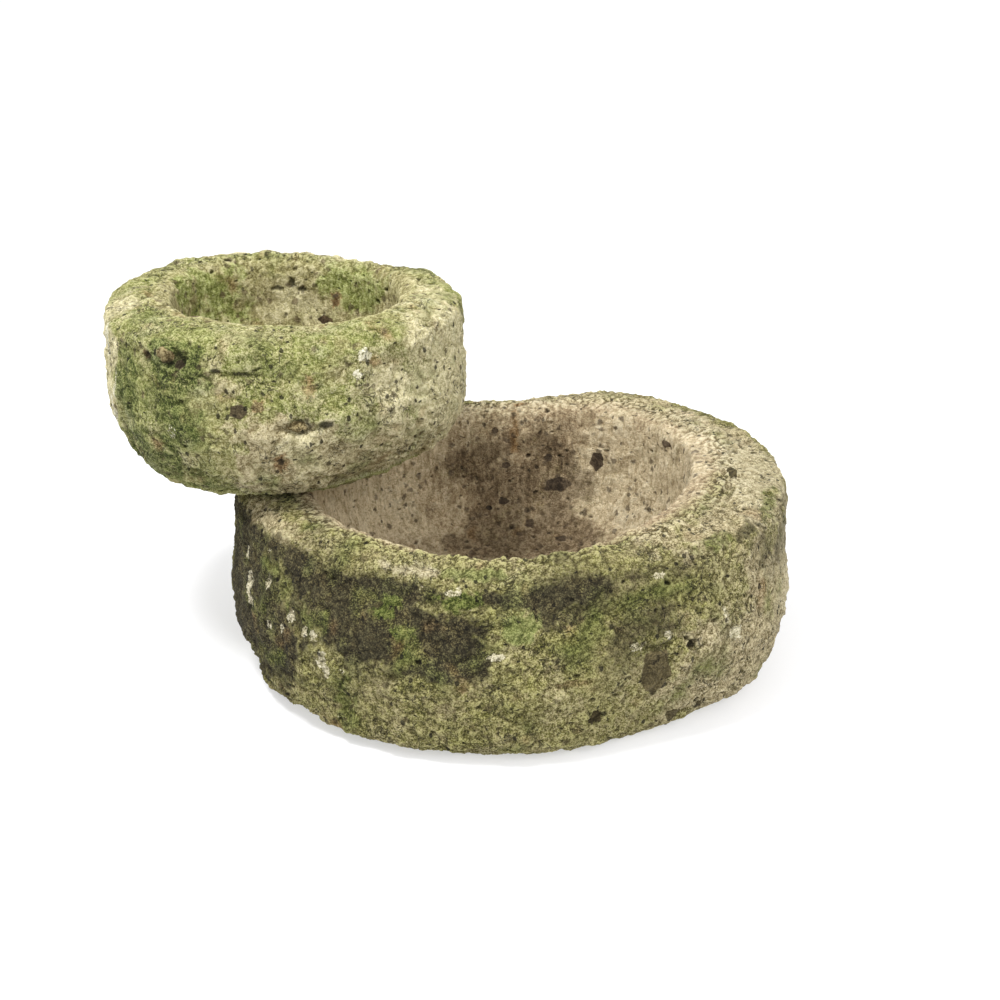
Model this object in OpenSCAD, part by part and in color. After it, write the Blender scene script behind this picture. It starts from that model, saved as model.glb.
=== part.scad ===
// Two hewn tuff basins: a small one standing on the rim of a large one. Millimetres, +Z up.
// The origin is the centre of the large basin's base, and -Y is the front.

/* [Large basin] */
// Outside diameter at the belly
large_d = 600; // [570:5:640]
// Height from the base to the crest of the rim
large_h = 200; // [180:2:230]
// Diameter of the mouth
large_mouth_d = 410; // [380:5:420]
// Thickness of stone under the middle of the hollow
large_floor = 38; // [30:2:80]

/* [Small basin] */
// Outside diameter at the belly
small_d = 384; // [365:1:400]
// Height from the base to the crest of the rim
small_h = 180; // [160:2:200]
// Diameter of the mouth
small_mouth_d = 250; // [220:5:260]
// Thickness of stone under the middle of the hollow
small_floor = 56; // [40:2:80]

/* [Seat] */
// Place of the small basin, to the right of the large one's middle
seat_x = -235; // [-240:1:-225]
// Place of the small basin, behind the large one's middle
seat_y = 55; // [40:1:65]
// Clearance left between the dressed rim and the small basin's base
seat_gap = 0.3; // [0.2:0.1:1]

/* [Hewing] */
// How far the hewn faces wander in and out
hewn = 1.5; // [0:0.5:2.5]

/* [Hidden] */

// Sections round a basin, and rings between one guide point and the next
SECTIONS = 72;
STEPS = 3;
// The bottom edge: its height, how far the base is set in behind it, and the stock sawn off below it
EDGE_H = 12;
EDGE_IN = 34;
STOCK = 6;
// Heights of the flare, belly and upper wall, as shares of the basin's height
FLARE = 0.22;
BELLY = 0.45;
UPPER = 0.74;
// Drop from the crest to the shoulder outside, to the inner lip, and to the wall under the lip
SHOULDER_DROP = 12;
LIP_DROP = 3;
WALL_DROP = 16;
// Half the width of the rounded inner lip
LIP = 5;
// The hollow: shares of the mouth's radius at shares of the hollow's depth, from the wall to the floor
HOLLOW = [[0.95, 0.52], [0.85, 0.2], [0.62, 0.03], [0.25, 0]];

// Value at angle a of a smooth closed curve through evenly spaced values, the first of them at +X
function around(values, a) =
    let (n = len(values), t = a / 360 * n, i = floor(t), u = t - i)
    smooth(values[(i + n - 1) % n], values[i % n], values[(i + 1) % n], values[(i + 2) % n], u);

// A point the share u of the way from p1 to p2, on the smooth curve that also passes p0 and p3
function smooth(p0, p1, p2, p3, u) =
    p1 + u * (p2 - p0 + u * (2 * p0 - 5 * p1 + 4 * p2 - p3 + u * (3 * (p1 - p2) + p3 - p0))) / 2;

// The same list with STEPS points for each guide point but the last
function refined(p) =
    let (last = len(p) - 1)
    [for (i = [0 : last - 1], k = [0 : STEPS - 1])
        smooth(p[max(i - 1, 0)], p[i], p[i + 1], p[min(i + 2, last)], k / STEPS),
     p[last]];

// How far a hewn face stands out at angle a and height z: three crossing waves
function lump(a, z) = hewn * (sin(3 * a + 1.9 * z) + sin(7 * a - 1.3 * z) + sin(11 * a + 2.6 * z)) / 3;

// Guide points [radius, height] of the section at angle a, from under the base over the rim to the floor
function guides(d, h, mouth_d, floor_z, belly_out, slope, mouth_out, dip, foot, a) =
    let (belly = d / 2 + around(belly_out, a),
         shoulder = belly - around(slope, a),
         mouth = mouth_d / 2 + around(mouth_out, a),
         crest = h - max(0, around(dip, a)),
         bottom = belly - around(foot, a),
         flare = (bottom + 2 * belly) / 3)
    [[bottom - EDGE_IN, -STOCK],
     [bottom, EDGE_H],
     [flare, FLARE * h],
     [belly, BELLY * h],
     [(belly + shoulder) / 2, UPPER * h],
     [shoulder, crest - SHOULDER_DROP],
     [(shoulder + mouth) / 2, crest],
     [mouth + LIP, crest - LIP_DROP],
     [mouth - LIP, crest - WALL_DROP],
     for (p = HOLLOW) [mouth * p[0], floor_z + (crest - floor_z) * p[1]]];

// A basin lofted through its sections, with its base sawn flat and the crest of its rim dressed flat.
// Each list holds a value every 30 degrees: how far the belly stands out, the width of the slope from
// the belly to the shoulder, how far the mouth stands out, the dip of the crest, and the foot's taper.
module basin(d, h, mouth_d, floor_z, belly_out, slope, mouth_out, dip, foot) {
    angles = [for (k = [0 : SECTIONS - 1]) 360 * k / SECTIONS];
    rings = [for (a = angles)
        refined(guides(d, h, mouth_d, floor_z, belly_out, slope, mouth_out, dip, foot, a))];
    n = len(rings[0]);
    points = [for (k = [0 : SECTIONS - 1], p = rings[k])
        let (a = angles[k], r = p[0] + lump(a, p[1])) [r * cos(a), r * sin(a), p[1]]];
    walls = [for (k = [0 : SECTIONS - 1], j = [0 : n - 2])
        let (here = k * n + j, next = (k + 1) % SECTIONS * n + j)
        each [[here, here + 1, next + 1], [here, next + 1, next]]];
    underside = [for (k = [0 : SECTIONS - 1]) k * n];
    floor_face = [for (k = [SECTIONS - 1 : -1 : 0]) k * n + n - 1];
    intersection() {
        polyhedron(points, concat(walls, [underside, floor_face]), convexity = 4);
        translate([-d, -d, 0]) cube([2 * d, 2 * d, h]);
    }
}

// The large basin stands on the floor
module large_basin() {
    color("darkolivegreen")
        basin(large_d, large_h, large_mouth_d, large_floor,
            belly_out = [2, 12, 8, -12, -10, -4, -3, -4, -20, -28, -28, 1],
            slope = [10, 10, 12, 38, 30, 20, 10, 26, 36, 40, 28, 22],
            mouth_out = [-6, 14, 12, -6, 0, 4, 6, 8, -2, 2, -12, -20],
            dip = [0, 1, 3, 8, 4, 0, 0, 0, 2, 2, 2, 2],
            foot = [22, 20, 18, 16, 16, 18, 18, 13, 9, 8, 14, 18]);
}

// The small basin stands on the large one's rim
module small_basin() {
    color("darkkhaki")
        translate([seat_x, seat_y, large_h + seat_gap])
            basin(small_d, small_h, small_mouth_d, small_floor,
                belly_out = [-2, -4, -10, -2, 4, 12, 1, -4, -8, -10, -8, -4],
                slope = [6, 8, 14, 14, 10, 6, 4, 9, 16, 22, 18, 10],
                mouth_out = [-2, 6, 8, 16, 20, 16, -2, -10, -22, -24, -12, -4],
                dip = [3, 2, 6, 5, 1, 2, 4, 4, 3, 3, 3, 3],
                foot = [28, 20, 20, 20, 20, 26, 32, 26, 24, 32, 44, 38]);
}

large_basin();
small_basin();
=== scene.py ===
"""Two hewn basins of volcanic tuff, overgrown with moss and lichen, on a pale floor.

Each basin is a fine mesh grown from its CAD node. The stone is worked along its normals with seeded noise,
and every vertex gets amounts (moss, crust, lichen, pits and so on) that its material mixes colours by.
"""
import math

import bpy
import numpy as np
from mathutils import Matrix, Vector


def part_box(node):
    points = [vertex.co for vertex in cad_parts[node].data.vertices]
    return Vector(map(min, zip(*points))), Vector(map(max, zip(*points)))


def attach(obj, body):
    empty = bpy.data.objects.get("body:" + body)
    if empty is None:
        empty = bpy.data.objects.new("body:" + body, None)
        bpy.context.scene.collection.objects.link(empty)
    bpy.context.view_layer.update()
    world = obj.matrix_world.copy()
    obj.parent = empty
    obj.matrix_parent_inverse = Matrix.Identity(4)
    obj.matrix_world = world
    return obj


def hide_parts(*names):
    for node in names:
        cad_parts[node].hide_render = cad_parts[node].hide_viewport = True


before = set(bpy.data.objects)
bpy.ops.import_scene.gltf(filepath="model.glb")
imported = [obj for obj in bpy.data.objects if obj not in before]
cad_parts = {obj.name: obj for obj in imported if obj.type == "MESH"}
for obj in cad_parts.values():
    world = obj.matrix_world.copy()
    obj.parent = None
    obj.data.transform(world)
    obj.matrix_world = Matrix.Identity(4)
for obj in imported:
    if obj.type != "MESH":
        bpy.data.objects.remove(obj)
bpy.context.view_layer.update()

MM = 0.001
VOXEL = 1.6 * MM
SMOOTH_ROUNDS = 10
# The height of the large basin's rim, where the small one stands on it
SEAT = 200 * MM
LATTICE = 64
# A turn that leaves no axis in place, so that the octaves of a noise don't line up
TURN = np.array([[0.36, 0.48, -0.8], [-0.8, 0.6, 0.0], [0.48, 0.64, 0.6]], np.float32)


# ---------------------------------------------------------------- noise

def corner(index, table):
    """The table's value at each row of whole-number coordinates, repeating past its edge."""
    i = index & (LATTICE - 1)
    return table[i[:, 0], i[:, 1], i[:, 2]]


def waves(points, size, seed):
    """Gradient noise from about -1 to 1, with one hill or dip to each stretch of that size."""
    rng = np.random.default_rng(seed)
    slopes = rng.normal(size=(LATTICE,) * 3 + (3,)).astype(np.float32)
    slopes /= np.linalg.norm(slopes, axis=-1, keepdims=True)
    q = points / np.float32(size) + np.float32(seed % 17 + 100)
    whole = np.floor(q).astype(np.int32)
    part = q - whole
    ease = part * part * part * (part * (part * 6 - 15) + 10)
    total = np.zeros(len(q), np.float32)
    for step in np.ndindex(2, 2, 2):
        away = part - np.array(step, np.float32)
        weight = np.prod(np.where(np.array(step) == 1, ease, 1 - ease), axis=1)
        total += weight * np.einsum("ij,ij->i", corner(whole + np.array(step, np.int32), slopes), away)
    return total * 1.6


def rough(points, size, seed, octaves=3, fade=0.5):
    """Gradient noise with finer and weaker octaves on top."""
    total, strength, p = 0, 1.0, points
    for k in range(octaves):
        total = total + strength * waves(p, size / 2 ** k, seed + 31 * k)
        p = p @ TURN
        strength *= fade
    return total


def cells(points, size, seed):
    """Scatters a point in every cell of that size. Gives the distances to the nearest and to the second
    nearest of them, as shares of the size, and two random numbers of the nearest."""
    rng = np.random.default_rng(seed)
    table = rng.random((LATTICE,) * 3 + (5,), dtype=np.float32)
    q = points @ TURN / np.float32(size) + np.float32(100)
    whole = np.floor(q).astype(np.int32)
    first = np.full(len(q), 9, np.float32)
    second = first.copy()
    own = np.zeros((len(q), 2), np.float32)
    for step in np.ndindex(3, 3, 3):
        cell = whole + np.array(step, np.int32) - 1
        drawn = corner(cell, table)
        away = cell + drawn[:, :3] - q
        d = np.sqrt(np.einsum("ij,ij->i", away, away))
        closer = d < first
        second = np.where(closer, first, np.minimum(second, d))
        own[closer] = drawn[closer, 3:]
        first = np.where(closer, d, first)
    return first, second, own[:, 0], own[:, 1]


def ease(x, low, high):
    """0 below low, 1 above high, and a smooth rise between. low may be the larger one."""
    t = np.clip((x - low) / (high - low), 0, 1)
    return t * t * (3 - 2 * t)


# ---------------------------------------------------------------- the worked stone

def fine_copy(node):
    """A new mesh of even quads over a CAD node's surface."""
    block = bpy.data.objects.new("block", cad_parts[node].data.copy())
    bpy.context.scene.collection.objects.link(block)
    remesh = block.modifiers.new("voxels", "REMESH")
    remesh.mode = "VOXEL"
    remesh.voxel_size = VOXEL
    mesh = bpy.data.meshes.new_from_object(block.evaluated_get(bpy.context.evaluated_depsgraph_get()))
    bpy.data.objects.remove(block)
    mesh.name = node
    mesh.materials.clear()
    return mesh


class Stone:
    """A basin's vertices, with the places on it measured from its own shape.

    around: azimuth in radians. along: how far a vertex is along the basin's section, in metres, from the
    base up the outside, in over the rim and down the hollow.
    """

    def __init__(self, node):
        self.mesh = fine_copy(node)
        self.count = len(self.mesh.vertices)
        self.place = np.zeros(self.count * 3, np.float32)
        self.mesh.vertices.foreach_get("co", self.place)
        self.place = self.place.reshape(-1, 3)
        self.edges = np.zeros(len(self.mesh.edges) * 2, np.int32)
        self.mesh.edges.foreach_get("vertices", self.edges)
        self.edges = self.edges.reshape(-1, 2)
        self.neighbours = np.bincount(self.edges.ravel(), minlength=self.count).astype(np.float32)
        for _ in range(SMOOTH_ROUNDS):
            self.place = 0.4 * self.place + 0.6 * self.averaged(self.place)
        self.low, self.high = (np.array(c, np.float32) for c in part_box(node))
        self.height = self.high[2] - self.low[2]
        self.measure()
        self.layers = {}

    def averaged(self, values):
        """Each vertex's mean of its neighbours' values."""
        a, b = self.edges.T
        columns = values.reshape(self.count, -1).T
        sums = [np.bincount(a, c[b], self.count) + np.bincount(b, c[a], self.count) for c in columns]
        return (np.array(sums).T / self.neighbours[:, None]).astype(np.float32).reshape(values.shape)

    def normals(self):
        self.mesh.vertices.foreach_set("co", self.place.ravel())
        self.mesh.update()
        n = np.zeros(self.count * 3, np.float32)
        self.mesh.vertex_normals.foreach_get("vector", n)
        return n.reshape(-1, 3)

    def measure(self):
        """Works out around and along from the section at every few degrees."""
        foot = self.place[self.place[:, 2] < self.low[2] + 3 * MM]
        self.axis = (foot.min(0) + foot.max(0))[:2] / 2
        out = self.place[:, :2] - self.axis
        self.reach = np.hypot(*out.T)
        self.around = np.arctan2(out[:, 1], out[:, 0])
        self.up = self.place[:, 2] - self.low[2]
        sectors = 72
        sector = np.floor((self.around + math.pi) / (2 * math.pi) * sectors).astype(int) % sectors
        self.sector_angles = (np.arange(sectors) + 0.5) / sectors * 2 * math.pi - math.pi
        self.belly, self.crest, self.crest_reach = np.zeros((3, sectors), np.float32)
        for k in range(sectors):
            here = sector == k
            up, reach = self.up[here], self.reach[here]
            self.belly[k] = reach.max()
            self.crest[k] = up.max()
            self.crest_reach[k] = reach[up > up.max() - 1.5 * MM].mean()
        self.belly_here = self.at(self.belly, self.around)
        self.crest_reach_here = self.at(self.crest_reach, self.around)
        self.under = (self.up < 4 * MM) & (self.reach < self.belly_here - 20 * MM)
        self.inside = (self.reach < self.crest_reach_here) & ~self.under
        rise = np.where(self.inside, 2 * self.at(self.crest, self.around) - self.up, self.up)
        self.along = rise + self.belly_here - self.reach
        self.hollow = ease(self.crest_reach_here - self.reach, 0, 30 * MM) * ~self.under

    def at(self, values, angle):
        """A value measured in every sector, at any azimuth."""
        return np.interp(angle, self.sector_angles, values, period=2 * math.pi).astype(np.float32)

    def mark_along(self, side, angle, where):
        """How far along the section a mark is. Outside ("out") and inside ("in") it stands at a height
        above the base, and on the rim it lies a distance in from the belly."""
        beam = np.abs(self.turn_from(angle)) * self.reach < 6 * MM
        if side == "rim":
            off = np.abs(self.belly_here - self.reach - where)
            beam &= self.up > 0.8 * self.height
        else:
            off = np.abs(self.up - where)
            beam &= self.inside == (side == "in")
        nearest = np.argpartition(np.where(beam, off, 9), 12)[:12]
        return self.along[nearest].mean()

    def turn_from(self, angle):
        return (self.around - angle + math.pi) % (2 * math.pi) - math.pi

    def mark(self, side, azimuth, where, wide, tall, ragged=0.5, seed=0, angular=False):
        """1 in the middle of a ragged oval on the surface and 0 outside it, or in a five-sided shape if
        angular. Azimuth is in degrees, the rest in millimetres: where it is, and half its width and height.
        """
        angle = math.radians(azimuth)
        across = self.turn_from(angle) * self.reach / (wide * MM)
        down = (self.along - self.mark_along(side, angle, where * MM)) / (tall * MM)
        d = np.hypot(across, down)
        if angular:
            sides = angle * 7 + np.arange(5) * 2 * math.pi / 5
            d = np.max([across * math.cos(a) + down * math.sin(a) for a in sides], axis=0)
        near = np.flatnonzero((d < 2.5) & (np.hypot(across, down) < 4) & ~self.under)
        amount = np.zeros(self.count, np.float32)
        if len(near):
            torn = rough(self.place[near], 0.7 * math.sqrt(wide * tall) * MM, int(azimuth) + seed, 4, 0.65)
            amount[near] = ease(d[near] + ragged * torn, 1.2 + 0.5 * ragged, 0.8 - 0.5 * ragged)
        return amount

    def dents_and_lumps(self, marks):
        """The height that the marks for single hollows, chips and lumps add to the stone."""
        total = np.zeros(self.count, np.float32)
        for side, azimuth, where, wide, tall, depth in marks:
            total -= depth * MM * self.mark(side, azimuth, where, wide, tall, 0.5, 5)
        return total

    def work(self, seed, look):
        """Moves the surface along its normals, and keeps the layers that the material paints it by."""
        p = self.place
        bent = p + 2.5 * MM * np.stack([waves(p, 9 * MM, seed + 20 + k) for k in range(3)], 1)
        height = self.hewn(bent, seed, look) + self.beads(bent, seed, look)
        height += self.pits_and_clasts(bent, seed, look)
        height = height * MM + self.dents_and_lumps(look["dents"])
        self.keep_relief(height)
        self.layers["hollow"] = self.hollow
        self.place = p + self.normals() * height[:, None]

    def hewn(self, bent, seed, look):
        """The height, in millimetres, of the swells, the lumps and the strokes of the tools."""
        p = self.place
        inside = self.hollow
        height = look["swell"] * rough(p, 75 * MM, seed, 2) * (1 - 0.4 * inside)
        lumps = np.abs(rough(bent, 32 * MM, seed + 1, 3))
        height += look["lump"] * (lumps - 0.35) * (1 - 0.4 * inside)
        height += 0.7 * (np.abs(rough(p, 5 * MM, seed + 5, 2)) - 0.3)
        hewing = rough(bent * np.array([0.35, 0.35, 1], np.float32), 9 * MM, seed + 3, 2)
        strokes = rough(bent * np.array([1, 1, 0.16], np.float32), 7 * MM, seed + 4, 2)
        return height + look["hewing"] * (1 - inside) * hewing + 0.7 * inside * strokes * (0.4 + 2 * lumps)

    def beads(self, bent, seed, look):
        """The height, in millimetres, of the crumbs and beads of tuff, strongest along the rim's lip."""
        inside = self.hollow
        outside = 1 - inside
        lip = ease(np.abs(self.reach - self.crest_reach_here + 12 * MM), 26 * MM, 6 * MM)
        lip *= ease(self.up, self.height * 0.8, self.height * 0.92)
        crumbly = 0.5 + 0.5 * look["crumbly"]
        crumbs = np.abs(rough(bent, 13 * MM, seed + 2, 4))
        height = (1.7 * crumbly * outside + 0.6 * inside + 1.8 * lip * crumbly) * (crumbs - 0.3)
        near, second, _, luck = cells(bent, 6.5 * MM, seed + 10)
        patchy = ease(rough(self.place, 45 * MM, seed + 12, 2), -0.5, 0.5) * (0.3 + 0.7 * outside)
        # The creases between the beads, which the material darkens as painted shade
        crease = ease(second - near, 0.22, 0.02) * patchy
        self.layers["crease"] = crease
        self.layers["lip"] = look["crumbly"] * lip
        return height + crumbly * (patchy * (0.6 * luck - 0.3) - 0.7 * crease)

    def pits_and_clasts(self, bent, seed, look):
        """The height, in millimetres, of scattered pits, of smaller pores, and of clasts of lava."""
        near, _, size, luck = cells(bent * np.array([1, 1, 1.7], np.float32), 19 * MM, seed + 6)
        pit = ease(near, 0.1 + 0.16 * size, 0.02 + 0.05 * size) * (luck > look["pit_rarity"])
        height = -pit * (1 + 3 * size)
        near, _, size, luck = cells(bent, 8 * MM, seed + 7)
        pore = ease(near, 0.18 + 0.12 * size, 0.05) * (luck > 0.7)
        height -= pore * 1.2
        near, second, size, luck = cells(bent * np.array([1, 1, 1.3], np.float32), 24 * MM, seed + 8)
        clast = ease(second - near, 0.3 + 0.5 * size, 0.36 + 0.5 * size)
        clast *= luck > look["clast_rarity"]
        height += clast * 0.8 * (1 + waves(self.place, 9 * MM, seed + 9))
        # The pits and pores, which the material darkens as painted shade
        self.layers["pit"] = np.maximum(pit * (0.6 + 0.4 * size), 0.35 * pore).astype(np.float32)
        self.layers["clast"] = clast
        self.layers["tone"] = luck
        return height

    def keep_relief(self, height):
        """Layers for how far a place stands out of its surroundings: relief finely, knob more widely."""
        # The material lightens raised places and darkens low ones by these layers: painted highlights and
        # painted shade
        smooth = height
        for layer, rounds, reach in ("relief", 3, 0.5 * MM), ("knob", 9, 1.2 * MM):
            for _ in range(rounds):
                smooth = self.averaged(smooth)
            self.layers[layer] = ease(height - smooth, -reach, reach)

    def rest(self, floor, ceiling=None, beside=None):
        """Keeps the underside on its plane, and where another stone stands, keeps the rim under it."""
        self.place[:, 2] = np.maximum(self.place[:, 2], floor)
        if beside is not None:
            shared = np.hypot(*(self.place[:, :2] - beside.axis).T) < beside.reach.max()
            self.place[shared, 2] = np.minimum(self.place[shared, 2], ceiling)

    def grow(self, layer, amount):
        """Adds to a layer, or with a negative amount takes away from it."""
        self.layers[layer] = np.clip(self.layers.get(layer, 0) + amount, 0, 1).astype(np.float32)

    def paint(self, marks):
        """Adds each layer's marks: growth, stains, painted shade and painted light with ragged edges, and
        stones and pits with straight ones.
        """
        for layer, places in marks.items():
            angular = layer in ("clast", "pebble", "pit")
            ragged = 0.12 if angular else 0.3 if layer == "pale" else 0.7
            for side, azimuth, where, wide, tall, strength in places:
                amount = self.mark(side, azimuth, where, wide, tall, ragged, 3, angular)
                self.grow(layer, strength * amount)

    def finish(self, name, body, node, slot, material):
        """Makes the piece, with a float attribute for each layer."""
        self.normals()
        for layer, values in self.layers.items():
            attribute = self.mesh.attributes.new(layer, "FLOAT", "POINT")
            attribute.data.foreach_set("value", np.ascontiguousarray(values, np.float32))
        self.mesh.polygons.foreach_set("use_smooth", np.ones(len(self.mesh.polygons), bool))
        self.mesh.materials.append(material)
        piece = bpy.data.objects.new(name, self.mesh)
        bpy.context.scene.collection.objects.link(piece)
        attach(piece, body)
        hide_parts(node)
        return piece


# ---------------------------------------------------------------- shader nodes

def shade(red, green, blue):
    """A display colour, 0 to 255, as the linear colour that shaders take."""
    def linear(v):
        v /= 255
        return v / 12.92 if v <= 0.04045 else ((v + 0.055) / 1.055) ** 2.4
    return (linear(red), linear(green), linear(blue), 1)


class Shader:
    """A material under construction. Every call adds one node and gives its output socket."""

    def __init__(self, name):
        self.material = bpy.data.materials.new(name)
        self.material.use_nodes = True
        self.tree = self.material.node_tree
        self.tree.nodes.clear()
        self.where = self.tree.nodes.new("ShaderNodeTexCoord").outputs["Object"]

    def node(self, kind, feeds, **settings):
        made = self.tree.nodes.new(kind)
        for name, value in settings.items():
            setattr(made, name, value)
        for name, value in feeds.items():
            if isinstance(value, bpy.types.NodeSocket):
                self.tree.links.new(value, made.inputs[name])
            elif value is not None:
                made.inputs[name].default_value = value
        return made

    def amount(self, layer):
        return self.node("ShaderNodeAttribute", {}, attribute_name=layer).outputs["Fac"]

    def math(self, operation, a, b=None, c=None):
        return self.node("ShaderNodeMath", {0: a, 1: b, 2: c}, operation=operation).outputs[0]

    def sum(self, *terms):
        """Adds up (share, socket) pairs."""
        total = 0.0
        for share, socket in terms:
            total = self.math("MULTIPLY_ADD", socket, share, total)
        return total

    def between(self, share, a, b):
        return self.math("MULTIPLY_ADD", share, self.math("SUBTRACT", b, a), a)

    def stretched(self, where, factors):
        feeds = {0: where, 1: factors}
        return self.node("ShaderNodeVectorMath", feeds, operation="MULTIPLY").outputs[0]

    def rise(self, value, low, high, to_low=0.0, to_high=1.0):
        feeds = {"Value": value, "From Min": low, "From Max": high, "To Min": to_low, "To Max": to_high}
        return self.node("ShaderNodeMapRange", feeds, interpolation_type="SMOOTHSTEP").outputs[0]

    def mix(self, share, a, b, blend="MIX"):
        return self.node("ShaderNodeMix", {0: share, 6: a, 7: b}, data_type="RGBA",
                         blend_type=blend).outputs[2]

    def noise(self, size, detail=3, roughness=0.6, distortion=0, where=None):
        feeds = {"Vector": where or self.where, "Scale": 1 / (size * MM), "Detail": detail,
                 "Roughness": roughness, "Distortion": distortion}
        return self.node("ShaderNodeTexNoise", feeds).outputs["Fac"]

    def spots(self, size, feature="F1", where=None):
        feeds = {"Vector": where or self.where, "Scale": 1 / (size * MM)}
        return self.node("ShaderNodeTexVoronoi", feeds, feature=feature)

    def ramp(self, share, *colours):
        """Spreads the colours evenly from 0 to 1."""
        made = self.node("ShaderNodeValToRGB", {0: share})
        stops = made.color_ramp.elements
        for k, colour in enumerate(colours):
            at = k / (len(colours) - 1)
            stop = stops[k] if k < 2 else stops.new(at)
            stop.position, stop.color = at, colour
        return made.outputs[0]

    def red(self, spots):
        """One random number for each spot."""
        return self.node("ShaderNodeSeparateColor", {0: spots.outputs["Color"]}).outputs[0]

    def bump(self, height, distance, strength=1):
        feeds = {"Height": height, "Distance": distance * MM, "Strength": strength}
        return self.node("ShaderNodeBump", feeds).outputs[0]

    def surface(self, colour, roughness, normal):
        feeds = {"Base Color": colour, "Roughness": roughness, "Normal": normal,
                 "Specular IOR Level": 0.25}
        made = self.node("ShaderNodeBsdfPrincipled", feeds)
        out = self.tree.nodes.new("ShaderNodeOutputMaterial")
        self.tree.links.new(made.outputs[0], out.inputs[0])
        return self.material


class Grain:
    """The noises that the tuff's colours, the edges of its growth and its bump share."""

    def __init__(self, s):
        warp = s.node("ShaderNodeTexNoise", {"Vector": s.where, "Scale": 1 / (4 * MM), "Detail": 2})
        feeds = {0: warp.outputs["Color"], 1: (3 * MM,) * 3, 2: s.where}
        self.bent = s.node("ShaderNodeVectorMath", feeds, operation="MULTIPLY_ADD").outputs[0]
        self.fine = s.rise(s.noise(1.6, 2, 0.6), 0.34, 0.66)
        self.fibres = s.rise(s.noise(3.1, 4, 0.66, 1.6), 0.3, 0.7)
        self.coarse = s.noise(7, 4, 0.7)
        self.drift = s.noise(26, 4, 0.6)
        self.speck = s.red(s.spots(2.2))
        self.inside = s.amount("hollow")
        self.speckle_and_shade = self.dark_to_light(s)

    def dark_to_light(self, s):
        """0 for the darkest grain and 1 for the lightest, with painted shade in low places and painted
        highlights on raised ones. In a hollow it runs down the wall in streaks.
        """
        relief, knob = s.amount("relief"), s.amount("knob")
        outer = s.sum((0.4, self.fine), (0.28, self.fibres), (0.14, self.coarse), (0.25, self.drift),
                      (0.2, self.speck), (0.17, relief), (0.22, knob))
        # Along the lip the crumbs' raised places are lightened and their low places darkened: painted
        # highlights and painted shade
        crumbs = s.math("MULTIPLY", s.amount("lip"), s.math("SUBTRACT", relief, 0.5))
        outer = s.math("MULTIPLY_ADD", crumbs, 0.5, outer)
        streaks = s.rise(s.noise(7, 4, 0.65, 0.4, s.stretched(self.bent, (1, 1, 0.22))), 0.28, 0.72)
        inner = s.sum((0.24, self.fine), (0.46, streaks), (0.3, self.coarse), (0.15, self.drift),
                      (0.13, self.speck), (0.2, relief), (0.18, knob))
        return s.rise(s.between(s.math("MULTIPLY", self.inside, 0.85), outer, inner), 0.36, 1.28)


# How softly each layer ends, from the lowest layer to the topmost. Besides growth and stains, the hollow
# has a darker layer that is partly damp stone and partly painted shade, and a pale layer that is partly
# paler stone and partly painted light.
# The hollow's own colour lies between the two groups.
OUTER_GROWTH = {"moss": 0.5, "bare": 0.5}
GROWTH = {"inner_pale_and_light": 0.8, "damp_and_shade": 1.0, "inner_moss": 0.35, "cream": 0.5, "crust": 0.4, "green": 0.4,
          "blue": 0.5, "rust": 0.6}


def growth(s, g, colours):
    """The colour of the tuff's surface with its moss, crust, lichen and stains, and in places painted shade
    and painted light.
    """
    def ramp(name):
        return s.ramp(g.speckle_and_shade, *colours[name])

    def cover(colour, layer, soft):
        """Lays a layer over the colour, with its edge broken up by the grain."""
        broken = s.sum((1.0, s.amount(layer)), (0.25, g.coarse), (0.3, g.fibres), (0.15, g.fine),
                       (0.7, g.drift))
        return s.mix(s.rise(broken, 1.2 - soft, 1.2 + soft), colour, ramp(layer))

    colour = s.mix(s.rise(g.drift, 0.35, 0.65), ramp("ground"), ramp("worn"))
    for layer, soft in OUTER_GROWTH.items():
        colour = cover(colour, layer, soft)
    colour = s.mix(g.inside, colour, ramp("hollow"))
    for layer, soft in GROWTH.items():
        colour = cover(colour, layer, soft)
    torn = s.sum((1.0, s.amount("pale")), (1.1, g.coarse), (0.6, g.fibres))
    return s.mix(s.rise(torn, 1.5, 1.75), colour, ramp("pale"))


def shards(s, g):
    """1 in scattered shards of lava and 0 beside them."""
    spots = s.spots(8, where=g.bent)
    rims = s.spots(8, "DISTANCE_TO_EDGE", where=g.bent).outputs["Distance"]
    chosen = s.sum((1.0, s.red(spots)), (0.07, g.inside), (0.3, g.drift), (0.1, g.coarse))
    return s.math("MULTIPLY", s.rise(chosen, 1.12, 1.16), s.rise(rims, 0.06, 0.26))


def stones(s, g, colours, colour, shard):
    """The colour with the shards, the clasts of lava and the pebbles laid over it."""
    shine = s.sum((0.45, s.amount("tone")), (0.55, g.speckle_and_shade))
    lava = s.mix(g.inside, s.ramp(shine, *colours["lava"]), s.ramp(shine, *colours["inner_lava"]))
    colour = s.mix(s.math("MULTIPLY", shard, 0.7), colour, lava)
    colour = s.mix(s.rise(s.amount("clast"), 0.35, 0.65), colour, lava)
    return s.mix(s.rise(s.amount("pebble"), 0.35, 0.65), colour, s.ramp(g.speckle_and_shade, *colours["pebble"]))


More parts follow.
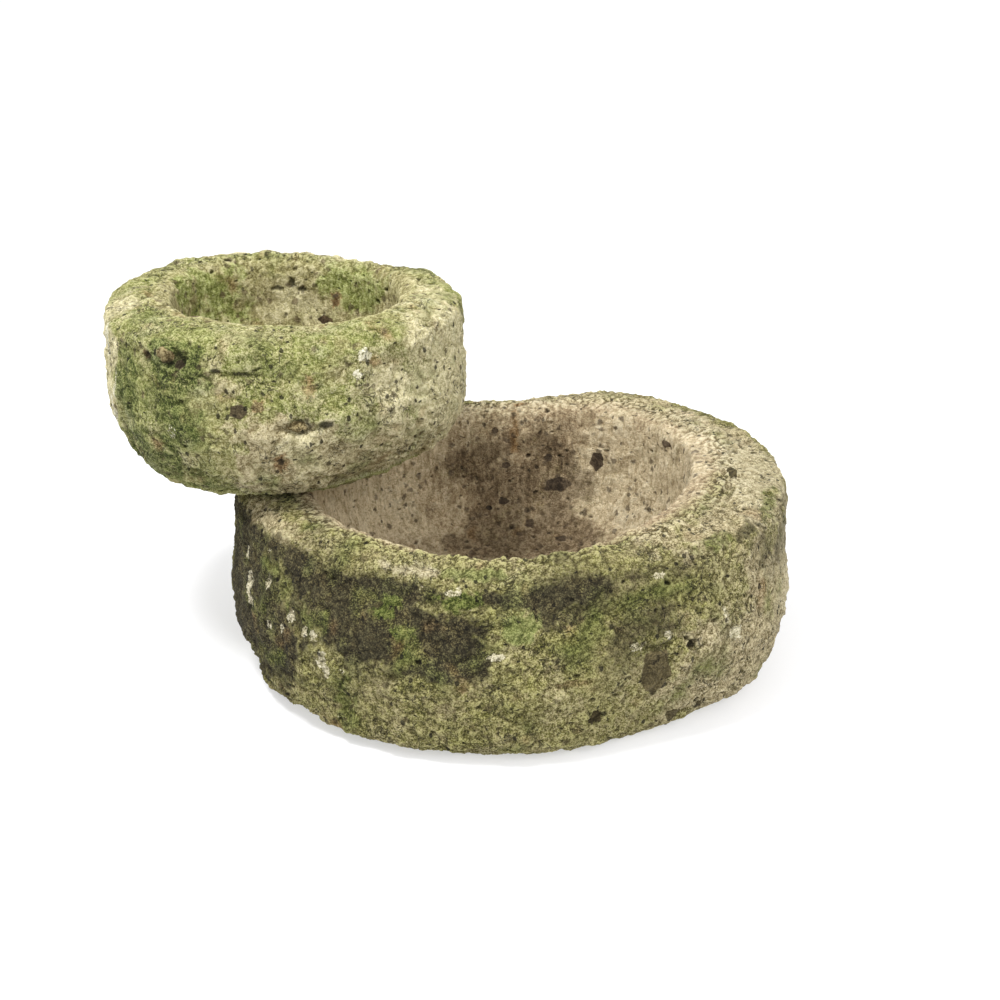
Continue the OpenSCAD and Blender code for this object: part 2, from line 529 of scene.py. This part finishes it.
def holes(s, g):
    """1 in small round holes, flat gaps and fine cracks, and 0 beside them."""
    round_ones = s.spots(9, where=s.stretched(g.bent, (1, 1, 0.7)))
    away = s.sum((1.0, round_ones.outputs["Distance"]), (0.3, g.coarse), (-0.3, s.red(round_ones)))
    hole = s.math("MULTIPLY", s.rise(away, 0.13, 0.06), s.rise(s.red(round_ones), 0.7, 0.75))
    flat_ones = s.spots(17, where=s.stretched(g.bent, (1, 1, 2.2)))
    away = flat_ones.outputs["Distance"]
    gap = s.math("MULTIPLY", s.rise(away, 0.15, 0.1), s.rise(s.red(flat_ones), 0.5, 0.52))
    away = s.math("ABSOLUTE", s.math("SUBTRACT", s.noise(17, 3, 0.6, 0.9), 0.5))
    crack = s.math("MULTIPLY", s.rise(away, 0.021, 0.007), s.rise(s.noise(40, 2), 0.47, 0.57))
    crack = s.math("MULTIPLY", crack, s.rise(g.inside, 0, 1, 0.85, 0.3))
    return s.math("MAXIMUM", s.math("MAXIMUM", hole, gap), crack)


def tuff(name, colours):
    """Hewn tuff with its growth. colours names the ramps, each from its darkest to its lightest grain."""
    s = Shader(name)
    g = Grain(s)
    shard, hole = shards(s, g), holes(s, g)
    colour = stones(s, g, colours, growth(s, g, colours), shard)
    # Holes, gaps, cracks, pits and the creases between beads are mixed towards the shadow colour: painted
    # shade in these recesses
    dark = s.math("MAXIMUM", s.math("MULTIPLY", hole, s.rise(g.inside, 0, 1, 0.85, 0.65)),
                  s.math("MULTIPLY", s.amount("pit"), 0.9))
    dark = s.math("MAXIMUM", dark, s.math("MULTIPLY", s.amount("crease"), 0.22))
    colour = s.mix(dark, colour, colours["shadow"])
    height = s.sum((0.3, g.fine), (0.6, g.fibres), (0.7, g.coarse), (0.2, g.speck), (-1.0, hole),
                   (0.3, shard))
    return s.surface(colour, s.rise(g.speckle_and_shade, 0, 1, 0.98, 0.88), s.bump(height, 1.8))


# ---------------------------------------------------------------- the two stones

LARGE_COLOURS = {
    "ground": (shade(68, 62, 26), shade(138, 133, 77), shade(208, 203, 142)),
    "worn": (shade(56, 56, 18), shade(122, 120, 62), shade(190, 188, 118)),
    "moss": (shade(46, 48, 12), shade(112, 111, 48), shade(186, 184, 110)),
    "crust": (shade(34, 30, 18), shade(56, 51, 33), shade(88, 84, 57)),
    "green": (shade(44, 52, 16), shade(82, 92, 36), shade(134, 142, 76)),
    "blue": (shade(70, 76, 34), shade(118, 125, 68), shade(166, 171, 108)),
    "bare": (shade(90, 80, 48), shade(172, 159, 118), shade(230, 218, 178)),
    "cream": (shade(128, 117, 84), shade(184, 172, 136), shade(224, 214, 180)),
    "hollow": (shade(118, 98, 73), shade(180, 158, 124), shade(226, 207, 172)),
    "inner_pale_and_light": (shade(176, 156, 120), shade(232, 214, 176), shade(252, 240, 208)),
    "damp_and_shade": (shade(58, 46, 31), shade(104, 87, 64), shade(154, 135, 106)),
    "inner_moss": (shade(76, 70, 40), shade(128, 118, 78), shade(174, 164, 122)),
    "rust": (shade(78, 56, 32), shade(132, 102, 64), shade(174, 144, 102)),
    "pebble": (shade(66, 56, 38), shade(104, 91, 66), shade(146, 132, 102)),
    "pale": (shade(148, 141, 108), shade(200, 191, 156), shade(240, 232, 204)),
    "lava": (shade(46, 40, 24), shade(80, 71, 45), shade(122, 110, 76)),
    "inner_lava": (shade(42, 34, 25), shade(74, 62, 48), shade(112, 97, 77)),
    "shadow": shade(24, 20, 11),
}
SMALL_COLOURS = {
    "ground": (shade(118, 107, 66), shade(170, 160, 112), shade(220, 211, 166)),
    "worn": (shade(104, 102, 50), shade(156, 154, 94), shade(206, 203, 146)),
    "moss": (shade(78, 87, 32), shade(134, 141, 72), shade(188, 192, 126)),
    "crust": (shade(66, 60, 32), shade(118, 108, 68), shade(168, 160, 114)),
    "green": (shade(40, 50, 16), shade(88, 98, 44), shade(152, 158, 94)),
    "blue": (shade(108, 112, 72), shade(158, 160, 114), shade(202, 202, 160)),
    "bare": (shade(122, 108, 74), shade(180, 166, 128), shade(226, 214, 178)),
    "cream": (shade(156, 147, 105), shade(206, 197, 152), shade(240, 231, 192)),
    "hollow": (shade(108, 101, 58), shade(170, 163, 112), shade(220, 212, 166)),
    "inner_pale_and_light": (shade(132, 120, 82), shade(190, 178, 134), shade(230, 219, 182)),
    "damp_and_shade": (shade(72, 67, 34), shade(124, 116, 70), shade(172, 164, 116)),
    "inner_moss": (shade(84, 92, 34), shade(146, 153, 84), shade(200, 205, 142)),
    "rust": (shade(82, 56, 32), shade(144, 114, 74), shade(186, 158, 114)),
    "pebble": (shade(80, 68, 42), shade(128, 112, 74), shade(180, 164, 120)),
    "pale": (shade(166, 160, 124), shade(216, 210, 178), shade(248, 243, 220)),
    "lava": (shade(48, 41, 27), shade(86, 75, 52), shade(130, 116, 86)),
    "inner_lava": (shade(50, 38, 25), shade(84, 68, 48), shade(124, 104, 78)),
    "shadow": shade(28, 24, 11),
}

# Dents (and, where the depth is negative, lumps): side, azimuth, where, half width, half height, depth
LARGE_DENTS = [
    ("out", 309, 105, 4, 5, 5), ("out", 288, 44, 7, 6, 5), ("out", 301, 110, 12, 4, 2.5),
    ("out", 283, 88, 22, 4, 2.2), ("out", 247, 92, 6, 4, 3), ("out", 236, 60, 12, 20, 2),
    ("out", 200, 24, 40, 14, 5), ("out", 222, 14, 26, 10, 5), ("out", 262, 10, 30, 7, 4),
    ("out", 318, 16, 34, 10, 4), ("out", 215, 110, 9, 28, 2.5), ("out", 232, 165, 26, 9, 3),
    ("rim", 10, 52, 6, 5, 4), ("rim", 356, 64, 13, 5, -2), ("rim", 296, 70, 30, 8, 3),
    ("rim", 240, 66, 26, 9, 3.5), ("rim", 344, 72, 24, 8, 4), ("out", 20, 12, 30, 9, 5),
    ("out", 90, 18, 50, 12, 5), ("out", 140, 110, 18, 26, 3.5), ("out", 60, 130, 26, 12, 3),
]
SMALL_DENTS = [
    ("out", 280, 92, 18, 8, 5), ("out", 280, 92, 10, 4, -4), ("out", 240, 152, 13, 11, 6),
    ("out", 237, 155, 7, 8, -4), ("out", 303, 8, 60, 20, 5), ("out", 262, 143, 26, 4, 2.5),
    ("in", 292, 168, 12, 8, 6), ("out", 229, 150, 7, 5, 4), ("out", 250, 14, 34, 9, 4),
    ("out", 215, 60, 9, 34, 3), ("out", 303, 100, 4, 6, 3), ("out", 290, 60, 5, 3, 3),
    ("out", 262, 108, 8, 8, -1.2), ("out", 330, 20, 30, 10, 5), ("out", 180, 40, 34, 14, 5),
    ("out", 100, 30, 40, 14, 5), ("in", 95, 147, 4, 6, 3), ("in", 90, 139, 6, 3, 2),
    ("in", 102, 141, 6, 3, 2), ("rim", 60, 24, 26, 12, 4),
]

# Growth, stains and stones in the stone, and painted shade and light, by layer: side, azimuth, where, half
# width, half height, strength.
# A negative strength takes away what the noise has grown there.
LARGE_MARKS = {
    "moss": [
        ("out", 286, 132, 96, 42, 0.9), ("out", 250, 66, 90, 46, 0.7), ("out", 222, 46, 60, 34, 0.8),
        ("out", 314, 142, 60, 36, 0.6), ("out", 278, 40, 110, 26, 0.3), ("out", 282, 126, 44, 28, 1.0),
        ("rim", 207, 30, 60, 20, -0.9), ("rim", 40, 20, 90, 16, 0.8),
    ],
    "crust": [
        ("out", 248, 132, 62, 40, 1.1), ("out", 234, 152, 30, 28, 0.8), ("out", 276, 168, 60, 11, 0.7),
        ("out", 230, 130, 40, 40, 0.5), ("out", 243, 168, 56, 12, 0.9), ("out", 233, 148, 34, 22, 0.9),
        ("out", 256, 120, 34, 26, 0.9), ("out", 218, 76, 26, 44, 0.6), ("out", 222, 166, 30, 24, 0.6),
        ("out", 242, 100, 50, 26, 0.4), ("out", 203, 120, 64, 70, 0.7), ("out", 259, 107, 44, 18, 0.6),
        ("out", 220, 92, 34, 30, 0.6), ("rim", 200, 14, 50, 12, 0.4), ("out", 278, 124, 46, 26, -1.2),
        ("out", 272, 144, 18, 18, -0.8), ("out", 250, 190, 34, 9, -1.0), ("rim", 329, 30, 22, 9, 0.6),
        ("out", 320, 100, 60, 60, -0.5), ("out", 205, 110, 60, 80, 0.4),
    ],
    "bare": [
        ("out", 232, 130, 110, 60, -0.7), ("out", 318, 80, 60, 44, 0.7), ("rim", 328, 56, 90, 34, 0.9),
        ("rim", 20, 54, 110, 34, 0.9), ("rim", 70, 60, 90, 26, 0.8), ("rim", 290, 78, 80, 10, 0.6),
        ("rim", 236, 80, 60, 10, 0.7), ("rim", 212, 70, 50, 16, 0.6), ("rim", 207, 30, 60, 20, 0.9),
        # The marks at about azimuth 342 and 345 lighten the right side, partly for the stone's own buff
        # colour and partly as painted light on the side the key light leaves darker
        ("out", 342, 100, 80, 90, 1.2), ("out", 345, 60, 70, 70, 0.9), ("out", 322, 40, 90, 34, 0.6),
    ],
    "cream": [
        ("out", 232, 130, 110, 60, -0.7), ("out", 248, 188, 30, 8, 0.8), ("rim", 355, 40, 90, 36, 0.8),
        # The two marks at about azimuth 345 and 350 lighten the right side in the same way: partly the
        # stone's cream colour and partly painted light
        ("rim", 25, 62, 90, 30, 0.5), ("out", 350, 110, 60, 80, 0.6), ("out", 345, 100, 50, 60, 0.8),
    ],
    "green": [
        ("out", 227, 124, 22, 18, 0.4), ("out", 245, 161, 9, 8, 1.1), ("out", 243, 149, 8, 7, 1.1),
        ("out", 248, 133, 9, 10, 0.8), ("out", 260, 165, 17, 11, 1.2), ("out", 214, 140, 26, 30, 0.3),
        ("out", 300, 160, 40, 14, 0.25), ("out", 236, 32, 14, 26, 0.6), ("out", 284, 122, 30, 24, 0.1),
        ("rim", 321, 34, 26, 12, 0.6), ("rim", 343, 26, 30, 10, 0.6),
    ],
    "blue": [
        ("out", 272, 144, 15, 17, 1.2), ("out", 262, 188, 30, 9, 0.7),
    ],
    "pale": [
        ("out", 206, 126, 6, 16, 1.0), ("out", 207, 108, 4, 9, 0.9), ("out", 216, 102, 5, 6, 1.0),
        ("out", 222, 121, 5, 9, 1.0), ("out", 220, 107, 4, 6, 0.9), ("out", 228.5, 112, 6, 7, 1.0),
        ("out", 226, 113, 4, 10, 0.9), ("out", 231, 89, 6, 13, 1.0), ("out", 232, 79, 4, 8, 1.0),
        ("out", 213, 140, 4, 12, 0.8), ("out", 203, 152, 5, 10, 0.9), ("out", 257.7, 172, 8, 5, 0.85),
        ("out", 259, 175, 3, 6, 0.9), ("out", 267.5, 118, 9, 5, 1.0), ("out", 318, 124, 4, 10, 0.9),
        ("out", 320, 102, 9, 9, 1.0), ("out", 304, 120, 5, 6, 0.9), ("out", 297, 115, 9, 6, 0.8),
        ("out", 304, 177, 7, 5, 0.9),
    ],
    "clast": [
        ("out", 301, 86, 15, 23, 1.0), ("in", 59, 132, 8, 12, 0.9), ("in", 72, 99, 15, 11, 0.8),
        ("in", 91, 121, 5, 4, 1.0), ("in", 92, 80, 6, 5, 1.0), ("in", 98, 74, 4, 4, 0.9),
        ("in", 95, 165, 4, 4, 0.8), ("in", 76, 129, 5, 6, 0.7), ("in", 65, 49, 8, 7, 0.6),
        ("in", 81, 59, 6, 9, 0.6), ("rim", 356, 64, 13, 5, 0.9), ("out", 288, 44, 7, 6, 0.9),
        ("out", 307, 24, 8, 5, 1.0), ("out", 313, 28, 5, 4, 1.0),
    ],
    # Pits, darkened as painted shade in their hollows
    "pit": [
        ("rim", 10, 52, 5, 4, 0.8), ("out", 309, 105, 4, 5, 1.0), ("out", 290, 47, 3, 2, 0.9),
    ],
    # These marks darken the bottom of the hollow, partly as darker damp stone and partly as painted shade;
    # the negative ones keep the darkening off the walls
    "damp_and_shade": [
        ("in", 84, 90, 84, 66, 0.9), ("in", 86, 48, 90, 40, 1.1), ("in", 74, 120, 40, 40, 0.4),
        ("in", 100, 140, 30, 20, 0.5), ("in", 105, 110, 30, 30, 0.5), ("in", 38, 120, 60, 90, -1.0),
        ("in", 140, 100, 80, 80, -0.6), ("in", 86, 46, 84, 26, 1.2), ("in", 140, 80, 70, 60, -0.6),
    ],
    "rust": [
        ("in", 88, 165, 5, 30, 0.8), ("rim", 87, 80, 9, 4, 0.9), ("out", 284, 88, 20, 4, 0.35),
    ],
    # These marks lighten the hollow's walls, partly as paler stone and partly as painted light on walls
    # that the lamps leave darker
    "inner_pale_and_light": [
        ("in", 30, 130, 80, 90, 1.3), ("in", 5, 150, 80, 70, 1.2), ("in", 160, 120, 130, 110, 1.2),
        ("in", 140, 100, 70, 60, 0.2), ("in", 46, 118, 56, 64, 1.1), ("in", 88, 190, 110, 14, 0.7),
    ],
}
SMALL_MARKS = {
    "green": [
        ("out", 238, 108, 44, 50, 0.6), ("out", 240, 163, 34, 12, 0.7), ("out", 250, 50, 14, 44, 0.4),
        ("out", 226, 40, 34, 30, 0.7), ("out", 218, 118, 22, 30, 0.5), ("rim", 212, 34, 26, 24, 0.5),
        ("out", 246, 148, 16, 22, 0.7), ("out", 214, 60, 22, 60, 0.4), ("out", 345, 90, 30, 90, -0.5),
        ("out", 275, 150, 26, 16, 0.5), ("out", 202, 110, 26, 80, -0.8), ("out", 238, 152, 22, 18, 1.0),
    ],
    # The marks at about azimuth 316 low down and at 340 lighten the lower right and the right side, partly
    # for the stone's tan colour and partly as painted light where the lamps leave them darker
    "bare": [
        ("out", 278, 56, 40, 38, 1.5), ("out", 268, 84, 26, 22, 0.8), ("out", 306, 146, 46, 26, 0.5),
        ("rim", 196, 22, 30, 18, 0.4), ("out", 340, 90, 26, 70, 0.8), ("out", 198, 108, 14, 52, 0.6),
        ("out", 258, 130, 26, 10, 0.6), ("out", 316, 26, 70, 24, 1.1),
    ],
    # The strong marks at about azimuth 340 on the right side and 203 on the left edge are partly the
    # stone's cream colour and partly painted light on edges that the lamps leave darker
    "cream": [
        ("out", 280, 70, 26, 20, 0.6), ("rim", 95, 22, 90, 20, 0.9), ("out", 340, 90, 66, 90, 1.5),
        ("out", 190, 100, 22, 90, 1.0), ("out", 318, 120, 50, 60, 0.3), ("in", 95, 122, 40, 26, 0.7),
        ("rim", 186, 34, 40, 30, 0.1), ("rim", 350, 34, 50, 30, 0.5), ("out", 300, 80, 50, 50, 0.3),
        ("out", 203, 112, 22, 70, 1.7),
    ],
    "moss": [
        ("out", 222, 120, 50, 60, 0.5), ("out", 312, 110, 56, 56, 0.9), ("out", 300, 110, 60, 46, 0.4),
        ("rim", 270, 30, 100, 28, 1.3), ("rim", 225, 30, 40, 26, 0.6), ("out", 202, 110, 18, 80, -0.7),
    ],
    # Taking crust off the lower right, the right side and the left edge lightens them, partly as painted
    # light
    "crust": [
        ("out", 310, 30, 70, 26, -0.6), ("out", 336, 90, 50, 90, -0.8), ("out", 202, 110, 26, 80, -1.0),
    ],
    "pale": [
        ("out", 302, 155, 8, 9, 1.0), ("out", 299, 138, 5, 6, 1.0), ("out", 204, 150, 8, 20, 1.0),
        ("out", 207, 62, 6, 20, 1.0), ("out", 211, 106, 4, 16, 0.9), ("out", 208, 84, 3, 22, 0.8),
        ("out", 240, 80, 5, 8, 0.7), ("out", 348, 80, 5, 30, 0.7),
    ],
    "rust": [
        ("out", 268, 113, 5, 7, 0.8), ("out", 274, 52, 7, 8, 0.9), ("out", 305, 148, 8, 8, 0.6),
        ("out", 284, 130, 6, 14, 0.4), ("in", 71, 130, 6, 9, 1.0),
    ],
    # Pits, darkened as painted shade in their hollows
    "pit": [
        ("out", 274, 54, 3, 3, 1.0), ("out", 280, 93, 12, 8.5, 0.8), ("out", 288, 94, 7, 4, 1.0),
        ("out", 279.5, 92.5, 9.5, 6, -1.0), ("in", 71, 130, 5, 8, 0.45), ("out", 241, 152, 10, 10, 0.7),
        ("out", 229, 150, 6, 6, 0.7), ("out", 237, 155, 8, 9, -0.7), ("out", 238, 148, 4, 2.5, 0.9),
        ("out", 255, 146, 5, 2.5, 1.0), ("out", 263, 143, 10, 2, 0.9), ("in", 95, 147, 3, 6, 0.85),
        ("in", 90, 139, 5, 2.5, 0.85), ("in", 102, 141, 5, 2.5, 0.85),
    ],
    "clast": [
        ("out", 262, 108, 8, 8, 1.0), ("in", 77, 105, 9, 6, 0.9), ("out", 242, 147, 5, 5, 1.0),
    ],
    "pebble": [
        ("out", 279.5, 92.5, 9.5, 6, 1.0), ("out", 268, 113, 6, 6, 0.9), ("out", 228, 151, 4, 5, 1.0),
        ("out", 237, 155, 8, 9, 0.8),
    ],
    "inner_moss": [
        ("in", 55, 145, 34, 26, 0.4), ("in", 140, 150, 44, 30, 0.9), ("in", 60, 156, 40, 24, 0.6),
    ],
    # These marks lighten the hollow, partly as paler stone and partly as painted light where it is shaded
    "inner_pale_and_light": [
        ("in", 95, 128, 46, 22, 0.7), ("in", 160, 160, 24, 20, 0.5),
    ],
}


# Heights in millimetres of the swells, lumps and hewing strokes, how crumbly the stone is, and the share of
# places for a pit or a clast that stay empty
LARGE_LOOK = {"swell": 2.6, "lump": 4.4, "hewing": 0.35, "crumbly": 1.0, "pit_rarity": 0.5,
              "clast_rarity": 0.97, "dents": LARGE_DENTS}
SMALL_LOOK = {"swell": 2.2, "lump": 4.2, "hewing": 0.7, "crumbly": 0.3, "pit_rarity": 0.6,
              "clast_rarity": 0.97, "dents": SMALL_DENTS}


def large_stone():
    stone = Stone("large_basin")
    p = stone.place
    stone.work(11, LARGE_LOOK)
    outside = 1 - stone.hollow
    shade_side = ease(np.cos(stone.around - math.radians(150)), -0.2, 0.9)
    stone.grow("moss", outside * (0.42 + 0.5 * rough(p, 110 * MM, 71, 3) + 0.2 * shade_side))
    under_rim = ease(stone.up, 70 * MM, 150 * MM) * ease(stone.up, 192 * MM, 178 * MM)
    stone.grow("crust", outside * (0.5 * rough(p, 90 * MM, 72, 3) + 0.2 * shade_side + 0.3 * under_rim))
    stone.grow("green", outside * 0.6 * rough(p, 45 * MM, 73, 3))
    stone.grow("blue", outside * (0.6 * rough(p, 38 * MM, 74, 2) - 0.2))
    stone.grow("bare", outside * (0.5 * rough(p, 60 * MM, 75, 3)))
    stone.grow("cream", outside * (0.5 * rough(p, 70 * MM, 80, 3) - 0.15))
    stone.grow("damp_and_shade", stone.hollow * (0.5 * rough(p, 60 * MM, 81, 3) - 0.1))
    stone.grow("pale", outside * (1.2 * rough(p, 22 * MM, 76, 2) - 0.6))
    stone.grow("rust", 0.9 * rough(p, 30 * MM, 77, 2) - 0.4)
    stone.grow("inner_pale_and_light", stone.hollow * 0.6 * rough(p, 50 * MM, 78, 3))
    stone.grow("inner_moss", stone.hollow * (0.5 * rough(p, 50 * MM, 79, 3) - 0.3))
    stone.paint(LARGE_MARKS)
    return stone


def small_stone():
    stone = Stone("small_basin")
    p = stone.place
    stone.work(211, SMALL_LOOK)
    outside = 1 - stone.hollow
    stone.grow("moss", outside * (0.62 + 0.5 * rough(p, 80 * MM, 271, 3)))
    stone.grow("crust", outside * (0.4 * rough(p, 60 * MM, 272, 3) - 0.15))
    stone.grow("green", outside * (0.7 * rough(p, 50 * MM, 273, 3)))
    stone.grow("blue", outside * (0.7 * rough(p, 38 * MM, 274, 2) - 0.1))
    stone.grow("bare", outside * (0.6 * rough(p, 50 * MM, 275, 3)))
    stone.grow("cream", outside * (0.6 * rough(p, 46 * MM, 280, 3) - 0.05))
    stone.grow("damp_and_shade", stone.hollow * (0.5 * rough(p, 50 * MM, 281, 3) - 0.1))
    stone.grow("pale", outside * (1.2 * rough(p, 20 * MM, 276, 2) - 0.6))
    stone.grow("rust", 0.9 * rough(p, 26 * MM, 277, 2) - 0.4)
    stone.grow("inner_pale_and_light", stone.hollow * 0.8 * rough(p, 40 * MM, 278, 3))
    stone.grow("inner_moss", stone.hollow * (0.8 * rough(p, 40 * MM, 279, 3) + 0.1))
    stone.paint(SMALL_MARKS)
    return stone


large = large_stone()
small = small_stone()
large.rest(large.low[2], SEAT, small)
small.rest(small.low[2])
large.finish("large_stone", "large_basin", "large_basin", "large_tuff", tuff("large_tuff", LARGE_COLOURS))
small.finish("small_stone", "small_basin", "small_basin", "small_tuff", tuff("small_tuff", SMALL_COLOURS))


# ---------------------------------------------------------------- floor, light and camera

def white_floor():
    bpy.ops.mesh.primitive_plane_add(size=60, location=(0, 0, 0))
    floor = bpy.context.object
    floor.name = "floor"
    s = Shader("lit_table")
    material = s.surface(shade(190, 190, 192), 0.9, None)
    shader = s.tree.nodes["Principled BSDF"]
    shader.inputs["Emission Color"].default_value = (1, 1, 1, 1)
    shader.inputs["Emission Strength"].default_value = 0.48
    floor.data.materials.append(material)


def soft_light(name, place, size, power):
    data = bpy.data.lights.new(name, "AREA")
    data.shape, data.size, data.energy = "DISK", size, power
    lamp = bpy.data.objects.new(name, data)
    lamp.location = place
    lamp.rotation_euler = (-Vector(place)).to_track_quat("-Z", "Y").to_euler()
    bpy.context.scene.collection.objects.link(lamp)


def studio():
    """An evenly lit white room, with a soft light overhead and a weaker, wider one at the front right."""
    world = bpy.data.worlds.new("white_room")
    world.use_nodes = True
    world.node_tree.nodes["Background"].inputs["Color"].default_value = (1, 1, 1, 1)
    world.node_tree.nodes["Background"].inputs["Strength"].default_value = 1.06
    bpy.context.scene.world = world
    soft_light("key", (-0.7, -0.4, 2.4), 0.7, 61)
    soft_light("fill", (1.4, -1.3, 1.5), 1.2, 19)
    bpy.context.scene.view_settings.view_transform = "Standard"


def camera():
    data = bpy.data.cameras.new("camera")
    data.sensor_width, data.lens, data.shift_x = 36, 54.97, -0.008
    eye = bpy.data.objects.new("camera", data)
    eye.location = (0, -1.5, 0.837)
    aim = Vector((0, 0, 0.161)) - eye.location
    eye.rotation_euler = aim.to_track_quat("-Z", "Y").to_euler()
    bpy.context.scene.collection.objects.link(eye)
    bpy.context.scene.camera = eye


white_floor()
studio()
camera()
